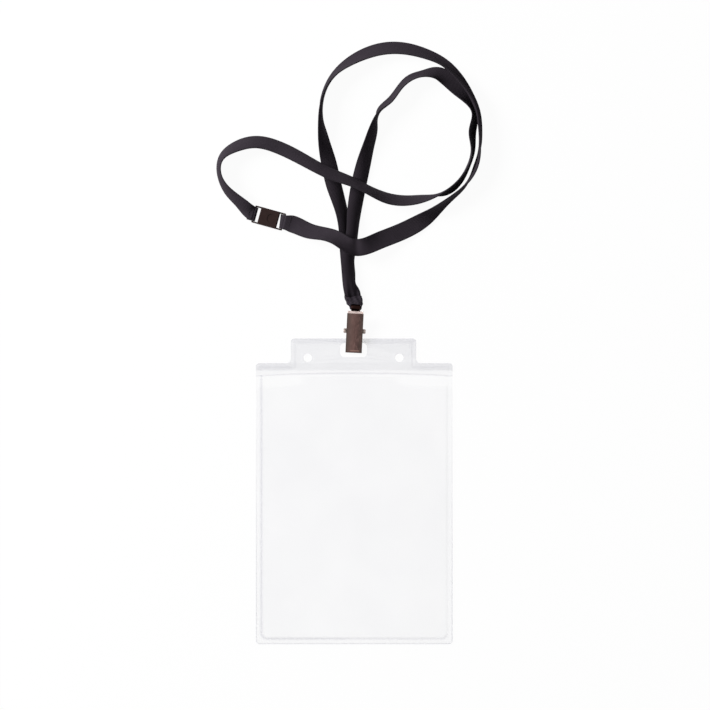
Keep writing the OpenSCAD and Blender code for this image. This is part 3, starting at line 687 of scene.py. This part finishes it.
def plated_steel(name, colour, wear_and_highlight, roughness, painted_shade_and_highlight=False, strips=()):
    """Plated sheet steel: cloudy tone, long fine scratches and brighter edges.

    A piece given painted_shade_and_highlight also gets a painted highlight over its toothed fold,
    and painted shade, darker towards both sides. strips are stretches along the clip of another
    tone: where each starts and stops, in mm, its share and its colour.
    """
    material, tree = new_material(name)
    place = add(tree, "ShaderNodeTexCoord").outputs["Object"]
    cloud = add(tree, "ShaderNodeTexNoise", {"Vector": place, "Scale": 420.0, "Detail": 4.0})
    stretch = add(tree, "ShaderNodeMapping", {
        "Vector": place, "Rotation": (0, 0, CLIP_LEAN), "Scale": (1500, 150, 1500)})
    scratch = add(tree, "ShaderNodeTexNoise", {
        "Vector": stretch.outputs[0], "Scale": 1.0, "Detail": 3.0, "Roughness": 0.65})
    line = add(tree, "ShaderNodeMapRange", {0: scratch.outputs[0], 1: 0.5, 2: 0.7})
    tone = add(tree, "ShaderNodeMix", {
        0: cloud.outputs[0], 6: scaled(colour, 0.6), 7: scaled(colour, 1.4)}, data_type="RGBA")
    mark = add(tree, "ShaderNodeMath", {0: line.outputs[0], 1: 0.4}, operation="MULTIPLY")
    # Pointiness lightens the edges with the wear colour as a painted highlight; the scratches are real
    # wear
    edge = add(tree, "ShaderNodeNewGeometry").outputs["Pointiness"]
    bright = add(tree, "ShaderNodeMapRange", {0: edge, 1: 0.53, 2: 0.62, 4: 0.7})
    coats = [(mark, wear_and_highlight), (bright, wear_and_highlight)]
    at = clip_millimetres(tree, place)
    for begins, ends, share, strip_tone in strips:
        start = add(tree, "ShaderNodeMapRange", {
            0: at.outputs["Y"], 1: begins, 2: begins + 0.2, 4: share})
        stop = add(tree, "ShaderNodeMapRange", {
            0: at.outputs["Y"], 1: ends, 2: ends + 0.1, 3: 1.0, 4: 0.0})
        strip = add(tree, "ShaderNodeMath", {
            0: start.outputs[0], 1: stop.outputs[0]}, operation="MULTIPLY")
        coats.append((strip, strip_tone))
    # Painted shade darkens both sides of the lever, and a painted highlight lies across its toothed
    # fold
    if painted_shade_and_highlight:
        off = add(tree, "ShaderNodeMath", {0: at.outputs["X"], 1: FOLD_X}, operation="SUBTRACT")
        off = add(tree, "ShaderNodeMath", {0: off.outputs[0]}, operation="ABSOLUTE").outputs[0]
        painted_side_shade = add(tree, "ShaderNodeMapRange", {0: off, 1: 1.2, 2: 4.2, 4: 0.6})
        past = add(tree, "ShaderNodeMath", {0: at.outputs["Y"], 1: FOLD_L}, operation="SUBTRACT")
        past = add(tree, "ShaderNodeMath", {0: past.outputs[0]}, operation="ABSOLUTE").outputs[0]
        near = add(tree, "ShaderNodeMapRange", {0: past, 1: 0.1, 2: 0.5, 3: 0.75, 4: 0.0})
        middle = add(tree, "ShaderNodeMapRange", {0: off, 1: 2.2, 2: 3.0, 3: 1.0, 4: 0.0})
        painted_highlight = add(tree, "ShaderNodeMath", {
            0: near.outputs[0], 1: middle.outputs[0]}, operation="MULTIPLY")
        coats += [(painted_side_shade, "#4a443f"), (painted_highlight, "#94746a")]
    for coat, coat_tone in coats:
        tone = add(tree, "ShaderNodeMix", {
            0: coat.outputs[0], 6: tone.outputs[2], 7: linear(coat_tone)}, data_type="RGBA")
    rough = add(tree, "ShaderNodeMapRange", {
        0: cloud.outputs[0], 1: 0.3, 2: 0.7, 3: roughness - 0.08, 4: roughness + 0.1})
    bump = add(tree, "ShaderNodeBump", {
        "Strength": 0.3, "Distance": 0.05 * MM, "Height": scratch.outputs[0]})
    steel = add(tree, "ShaderNodeBsdfPrincipled", {
        "Base Color": tone.outputs[2], "Metallic": 1.0, "Roughness": rough.outputs[0],
        "Normal": bump.outputs[0]})
    add(tree, "ShaderNodeOutputMaterial", {"Surface": steel.outputs[0]})
    return material


print("rubbed bright", FOLD_L, "mm along the clip")

# %% [markdown]
# Behind the lever, strips of the jaw carry a painted reflection of the white studio, and its eye
# is darkened with painted shade. The pin and the spring's wire are of a brighter nickel. A weld
# joins the doubled points of the CAD mesh, so that a bevel can run round every edge.

# %% The clip's three pieces
# The jaw's pale strips are painted reflection, and the dark strip over the rolled eye is painted shade
dark_nickel = plated_steel("dark_nickel_plated_steel", "#241512", "#6a4a42", 0.34,
                           strips=((9.0, 16.0, 0.55, "#f0dcd6"), (22.3, 24.1, 1.0, "#f0dcd6"),
                                   (24.1, 30.0, 0.85, "#1c100e")))
# The lever's finish carries painted shade at its sides and a painted highlight over its fold
lever_nickel_painted_light = plated_steel("dark_nickel_painted_shade_highlight", "#4f3d3a", "#8a6c66", 0.38, painted_shade_and_highlight=True)
bright_nickel = plated_steel("bright_nickel_pin", "#a39a92", "#d8d2ca", 0.25)


def dress(node, material, bevel_mm, segments=2):
    """Gives a CAD node its material and broken edges, and leaves its mesh as it is."""
    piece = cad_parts[node]
    piece.data.materials.clear()
    piece.data.materials.append(material)
    weld = piece.modifiers.new("weld", "WELD")
    weld.merge_threshold = 0.002 * MM
    bevel = piece.modifiers.new("bevel", "BEVEL")
    bevel.width, bevel.segments = bevel_mm * MM, segments
    bevel.limit_method, bevel.angle_limit = "ANGLE", math.radians(35)
    bevel.harden_normals = True
    print(node, "edges broken by", bevel_mm, "mm")


dress("clip_jaw", dark_nickel, 0.09)
dress("clip_lever", lever_nickel_painted_light, 0.2, 3)
dress("clip_pin", bright_nickel, 0.08)

# %% [markdown]
# ## The spring
#
# A torsion spring of 0.5 mm wire winds three and a half turns round the pin. Its arms press
# the jaw and the lever apart behind the pin. The wire is a circle carried along the same line
# as in the CAD part, with many more steps.

# %% Spring wire
# The pin's place in the clip, the coil, and how far the arms reach and how high they end, in mm
PIVOT_L, PIVOT_Z, COIL_R, WIRE_R, TURNS, PITCH = 12.5, 2.9, 1.2, 0.25, 3.5, 0.95
SPRING_ARM, ARM_LOW, ARM_TOP = 6.0, 0.83, 6.27


def spring_line(steps=48):
    """A straight arm on the jaw, a helix about the pin, and a straight arm under the lever."""
    k = np.linspace(0, TURNS, int(TURNS * steps) + 1)
    a = -math.pi / 2 - 2 * math.pi * k
    helix = np.stack([
        (k - TURNS / 2) * PITCH, PIVOT_L + COIL_R * np.cos(a), PIVOT_Z + COIL_R * np.sin(a)], -1)
    t = np.linspace(0, 1, 16)[:-1, None]
    first, last = [(1 - t) * np.array([end[0], PIVOT_L + SPRING_ARM, arm_z]) + t * end
                   for end, arm_z in ((helix[0], ARM_LOW), (helix[-1], ARM_TOP))]
    return np.concatenate([first, helix, last[::-1]])


def round_tube(line, radius, sides):
    """A circle of the given radius about each point, square to the line's travel."""
    f = unit(np.gradient(line, axis=0))
    s = unit(np.cross(f, (1.0, 0, 0)))
    u = np.cross(f, s)
    a = np.linspace(0, 2 * math.pi, sides, endpoint=False)[None, :, None]
    return line[:, None] + radius * (np.cos(a) * s[:, None] + np.sin(a) * u[:, None])


wire = round_tube(spring_line(), WIRE_R, 12)
spring = new_piece("torsion_spring", from_clip(*np.moveaxis(wire, -1, 0)),
                   tube_faces(*wire.shape[:2]), bright_nickel, None)
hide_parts("clip_spring")
tuple(from_clip(0, PIVOT_L, 1.4) * MM)
tuple(from_clip(0, PIVOT_L, 4.4) * MM)
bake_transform(spring)

# %% [markdown]
# ## The buckle
#
# The breakaway buckle is moulded in brown-black acetal, a slightly waxy plastic with a fine
# spark-eroded grain. The grain is really 0.05 mm and is drawn at 0.3 mm so that it shows.

# %% Moulded acetal
def moulded_plastic(name, colour, roughness, grain_mm):
    """Satin plastic with a fine even grain and a faint cloudiness from the mould's flow."""
    material, tree = new_material(name)
    place = add(tree, "ShaderNodeTexCoord").outputs["Object"]
    grain = add(tree, "ShaderNodeTexNoise", {
        "Vector": place, "Scale": 1 / (grain_mm * MM), "Detail": 2.0})
    flow = add(tree, "ShaderNodeTexNoise", {"Vector": place, "Scale": 350.0, "Detail": 3.0})
    tone = add(tree, "ShaderNodeMix", {
        0: flow.outputs[0], 6: scaled(colour, 0.7), 7: scaled(colour, 1.3)}, data_type="RGBA")
    bump = add(tree, "ShaderNodeBump", {
        "Strength": 0.2, "Distance": 0.04 * MM, "Height": grain.outputs[0]})
    plastic = add(tree, "ShaderNodeBsdfPrincipled", {
        "Base Color": tone.outputs[2], "Roughness": roughness, "IOR": 1.48,
        "Specular IOR Level": 0.08, "Normal": bump.outputs[0]})
    add(tree, "ShaderNodeOutputMaterial", {"Surface": plastic.outputs[0]})
    return material


brown_acetal = moulded_plastic("moulded_brown_acetal", "#2b1f1d", 0.42, 0.3)
dress("buckle_socket", brown_acetal, 0.18, 3)
dress("buckle_plug", brown_acetal, 0.18, 3)

# %% [markdown]
# ## The film
#
# The wallet is soft clear PVC, 0.4 mm thick, welded down both sides and along the foot. Clear
# film shows the table through itself, so the shader mixes a see-through part with a faint grey
# gloss. Each sheet takes a few parts in a hundred of the light, more along a weld and where the
# eye meets the film at a slant.

# %% Clear PVC
PVC_IOR = 1.53


def clear_pvc(name, cover, pressed):
    """See-through film: cover is the share of grey over the middle.

    pressed is a function that gives, from the tree and the place, the share that welded and
    pressed lines add. The share of grey grows with the fifth power of the slant.
    """
    material, tree = new_material(name)
    place = add(tree, "ShaderNodeTexCoord").outputs["Object"]
    ripple = add(tree, "ShaderNodeTexNoise", {"Vector": place, "Scale": 28.0, "Detail": 2.0})
    grain = add(tree, "ShaderNodeTexNoise", {"Vector": place, "Scale": 900.0, "Detail": 2.0})
    height = add(tree, "ShaderNodeMath", {0: grain.outputs[0], 1: 0.15, 2: ripple.outputs[0]},
                 operation="MULTIPLY_ADD")
    bump = add(tree, "ShaderNodeBump", {
        "Strength": 0.5, "Distance": 0.4 * MM, "Height": height.outputs[0]})
    body = add(tree, "ShaderNodeBsdfPrincipled", {
        "Base Color": linear("#a2a2b4"), "Roughness": 0.12, "IOR": PVC_IOR,
        "Normal": bump.outputs[0]})
    clear = add(tree, "ShaderNodeBsdfTransparent", {"Color": WHITE})
    facing = add(tree, "ShaderNodeLayerWeight", {"Blend": 0.5}).outputs["Facing"]
    slant = add(tree, "ShaderNodeMath", {0: facing, 1: 5.0}, operation="POWER")
    slant = add(tree, "ShaderNodeMath", {0: slant.outputs[0], 1: 0.4}, operation="MULTIPLY")
    cloud = add(tree, "ShaderNodeMapRange", {
        0: ripple.outputs[0], 1: 0.3, 2: 0.7, 3: cover * 0.8, 4: cover * 1.2})
    flat = add(tree, "ShaderNodeMath", {
        0: cloud.outputs[0], 1: pressed(tree, place)}, operation="ADD")
    total = add(tree, "ShaderNodeMath", {
        0: flat.outputs[0], 1: slant.outputs[0]}, operation="ADD", use_clamp=True)
    film = add(tree, "ShaderNodeMixShader", {
        0: total.outputs[0], 1: clear.outputs[0], 2: body.outputs[0]})
    add(tree, "ShaderNodeOutputMaterial", {"Surface": film.outputs[0]})
    return material


print("film of refractive index", PVC_IOR)

# %% [markdown]
# The tab and the shoulders are pressed along their edges. How far a point lies inside the outline
# is worked out from two boxes, the tab's and the wallet's: inside one box it is the smaller of
# the distances to its sides, and for both together the larger of the two counts. A ramp then
# turns the distance into grey: a clear rim, a dark pressed line and the plain film.

# %% Pressed lines of the tab
# Heights up the wallet of its foot, the pocket's mouth, the header sheet, the shoulders and the top
WALLET_W, FOOT_Y, MOUTH_Y, HEADER_Y, SHOULDER_Y, TOP_Y = 113.0, -87.8, 66.8, 69.4, 73.7, 87.8
TAB_X, TAB_Y, TAB_HALF, RAMP_MM = -0.4, 40.0, 36.0, 8.0
# Each box is its middle and its reach to both sides
tab_box = ((TAB_X, TAB_Y, 0.0), (TAB_HALF, TOP_Y - TAB_Y, 0.0))
wallet_box = ((0.0, (SHOULDER_Y + FOOT_Y) / 2, 0.0), (WALLET_W / 2, (SHOULDER_Y - FOOT_Y) / 2, 0.0))
rim_to_middle = [(0.0, 0.0), (1.2, 0.0), (1.9, 0.04), (2.6, 0.065), (3.2, 0.015), (4.5, 0.0)]


def inside_box(tree, millimetres, centre, reach):
    """The smaller distance, across or along, from a point to the sides of a box around it."""
    off = add(tree, "ShaderNodeVectorMath", {0: millimetres, 1: centre}, operation="SUBTRACT")
    off = add(tree, "ShaderNodeVectorMath", {0: off.outputs[0]}, operation="ABSOLUTE")
    left = add(tree, "ShaderNodeVectorMath", {0: reach, 1: off.outputs[0]}, operation="SUBTRACT")
    parts = add(tree, "ShaderNodeSeparateXYZ", {0: left.outputs[0]})
    least = add(tree, "ShaderNodeMath", {
        0: parts.outputs["X"], 1: parts.outputs["Y"]}, operation="MINIMUM")
    return least.outputs[0]


def pressed_tab(tree, place):
    """Extra grey of the tab: its pressed border, its darker head and its darker shoulders."""
    scale = add(tree, "ShaderNodeVectorMath", {0: place, "Scale": 1 / MM}, operation="SCALE")
    millimetres = scale.outputs[0]
    in_tab = inside_box(tree, millimetres, *tab_box)
    in_wallet = inside_box(tree, millimetres, *wallet_box)
    inside = add(tree, "ShaderNodeMath", {0: in_tab, 1: in_wallet, 2: 1.5}, operation="SMOOTH_MAX")
    share = add(tree, "ShaderNodeMath", {
        0: inside.outputs[0], 1: 1 / RAMP_MM}, operation="MULTIPLY")
    ramp = add(tree, "ShaderNodeValToRGB", {0: share.outputs[0]})
    stops = ramp.color_ramp.elements
    for at, _ in rim_to_middle[1:-1]:
        stops.new(at / RAMP_MM)
    for stop, (at, grey) in zip(stops, rim_to_middle):
        stop.position, stop.color = at / RAMP_MM, (grey, grey, grey, 1)
    high = add(tree, "ShaderNodeSeparateXYZ", {0: millimetres}).outputs["Y"]
    head = add(tree, "ShaderNodeMapRange", {0: high, 1: TOP_Y - 2.6, 2: TOP_Y - 1.6, 4: 0.065})
    shoulder = add(tree, "ShaderNodeMapRange", {0: in_tab, 1: -1.5, 2: 1.5, 3: 0.035, 4: 0.0})
    lip = add(tree, "ShaderNodeMapRange", {
        0: high, 1: HEADER_Y, 2: HEADER_Y + 0.8, 3: -0.05, 4: 0.0})
    total = ramp
    for more in (head, shoulder, lip):
        total = add(tree, "ShaderNodeMath", {
            0: total.outputs[0], 1: more.outputs[0]}, operation="ADD")
    return total.outputs[0]


def pressed_back(tree, place):
    """Extra grey of the back sheet above the pocket's mouth, where the pocket's sheet ends."""
    high = add(tree, "ShaderNodeSeparateXYZ", {0: place}).outputs["Y"]
    return add(tree, "ShaderNodeMapRange", {
        0: high, 1: (MOUTH_Y - 0.2) * MM, 2: (MOUTH_Y + 0.4) * MM, 4: 0.035}).outputs[0]


def pressed_pocket(tree, place):
    """Extra grey of the pocket's sheet, which is written on the mesh point by point."""
    return add(tree, "ShaderNodeAttribute", attribute_name="pressed").outputs["Fac"]


# %% [markdown]
# The back and the header sheet are flat and stay as CAD has them, with the film's finish on top.
# The header's film lies double with the back's, so it is the greyest.

# %% The three films
back_film = clear_pvc("clear_pvc_back", 0.025, pressed_back)
tab_film = clear_pvc("clear_pvc_tab", 0.078, pressed_tab)
pocket_film = clear_pvc("clear_pvc_pocket", 0.026, pressed_pocket)
dress("rear_sheet", back_film, 0.1)
dress("header_sheet", tab_film, 0.1)

# %% [markdown]
# The pocket's sheet is not a plate. It lies flat in the weld, lifts over a millimetre or so
# inside it, and bows up a little towards the open mouth. So its height is worked out from the
# distance to the weld line, and its upper edge is a shallow arc.

# %% Pocket sheet
# The mouth's arc rises MOUTH_BOW mm; the weld is RIM_W mm wide with corners of radius POCKET_R
MOUTH_BOW, MOUTH_R, FILM_T, RIM_W, POCKET_R, CORNER_R = 1.5, 954.8, 0.4, 3.0, 3.5, 2.0
# The sheet lifts LIFT_MM over RISE_MM inside the weld, and bows BOW_MM more at its mouth
LIFT_MM, RISE_MM, BOW_MM, RIPPLE_MM, GROOVE_MM = 0.5, 1.6, 0.9, 0.05, 0.1


def crowd(n, power):
    """n numbers from -1 to 1, closer together towards both ends."""
    t = np.linspace(-1, 1, n)
    return np.sign(t) * (1 - (1 - np.abs(t)) ** power)


def weld_distance(x, y):
    """How far a point lies inside the pocket's rounded weld line, in mm; negative in the weld."""
    dx, dy = WALLET_W / 2 - RIM_W - np.abs(x), y - (FOOT_Y + RIM_W)
    corner = POCKET_R - np.hypot(np.clip(POCKET_R - dx, 0, None), np.clip(POCKET_R - dy, 0, None))
    return np.where((dx < POCKET_R) & (dy < POCKET_R), corner, np.minimum(dx, dy))


def ridge(distance, at, reach):
    """1 where distance is at, falling off to both sides as exp(-((distance - at) / reach)^2)."""
    return np.exp(-((distance - at) / reach) ** 2)


u, v = np.meshgrid(crowd(130, 1.7), (crowd(150, 1.6) + 1) / 2)
low = np.clip(CORNER_R - v * (MOUTH_Y - FOOT_Y), 0, None)
half_width = WALLET_W / 2 - CORNER_R + np.sqrt(CORNER_R**2 - low**2)
x = u * half_width
mouth = MOUTH_Y + MOUTH_BOW - MOUTH_R + np.sqrt(MOUTH_R**2 - x**2)
y = FOOT_Y + v * (mouth - FOOT_Y)
inside = weld_distance(x, y)
bow = BOW_MM * np.cos(np.clip(x / WALLET_W, -0.5, 0.5) * math.pi) ** 2 * v**3
ripple = RIPPLE_MM * smooth(inside / 12) * np.sin(x / 9 + 1.1 * np.sin(y / 23)) * v
under = FILM_T + smooth(inside / RISE_MM) * (LIFT_MM + bow) + ripple
upper = under + FILM_T - GROOVE_MM * ridge(inside, 0.1, 0.3)
sheets = np.stack([np.stack([x, y, z], -1) for z in (upper, under)])
rows, cols = x.shape
top_faces = grid_faces(rows, cols)
low_faces = top_faces[:, ::-1] + rows * cols
rim = np.concatenate([
    np.arange(cols), np.arange(1, rows) * cols + cols - 1,
    (rows - 1) * cols + np.arange(cols - 2, -1, -1), np.arange(rows - 2, 0, -1) * cols])
nxt = np.roll(rim, -1)
wall = np.stack([rim, rim + rows * cols, nxt + rows * cols, nxt], -1)
print("the pocket's sheet stands up to", round(float(upper.max()), 2), "mm high")

# %% [markdown]
# The film's grey is darker along the weld, most of all at the foot and, as painted shade, on the left,
# along the cut edge and along the mouth, and a faint painted glare lies below the mouth at both
# sides. These shares are written on the points, where the finish reads them.

# %% Grey of the pocket's sheet
to_edge = np.minimum(WALLET_W / 2 - np.abs(x), y - FOOT_Y)
to_mouth = mouth - y
# The weld's extra grey on the left is painted shade
left_painted_shade = smooth(0.5 - x / 20)
foot_share = 0.6 * smooth((FOOT_Y + RIM_W + 4 - y) / 3)
weld_line = (0.025 + 0.12 * np.maximum(left_painted_shade, foot_share)) * ridge(inside, 0.1, 0.7)
cut_edge = 0.17 * smooth((0.9 - to_edge) / 0.8) * smooth(0.6 - (y + 20) / 120)
mouth_line = 0.1 * ridge(to_mouth, 0.2, 0.4) - 0.06 * ridge(to_mouth, 1.4, 0.5)
# Painted glare: the film is made clearer below the mouth at both sides
glare = -0.05 * ridge(to_mouth, 4.0, 2.6) * smooth((np.abs(x + 2) - 22) / 14)
pressed = weld_line + cut_edge + mouth_line + glare
pocket = new_piece(
    "pocket_film", sheets, np.concatenate([top_faces, low_faces, wall]), pocket_film,
    "wallet", values={"pressed": np.stack([pressed, pressed])})
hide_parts("pocket_sheet")

# %% [markdown]
# The box of what is seen is printed.

# %% Sizes and the end
low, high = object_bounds()
print("visual box in mm:", [round((b - a) / MM, 1) for a, b in zip(low, high)])
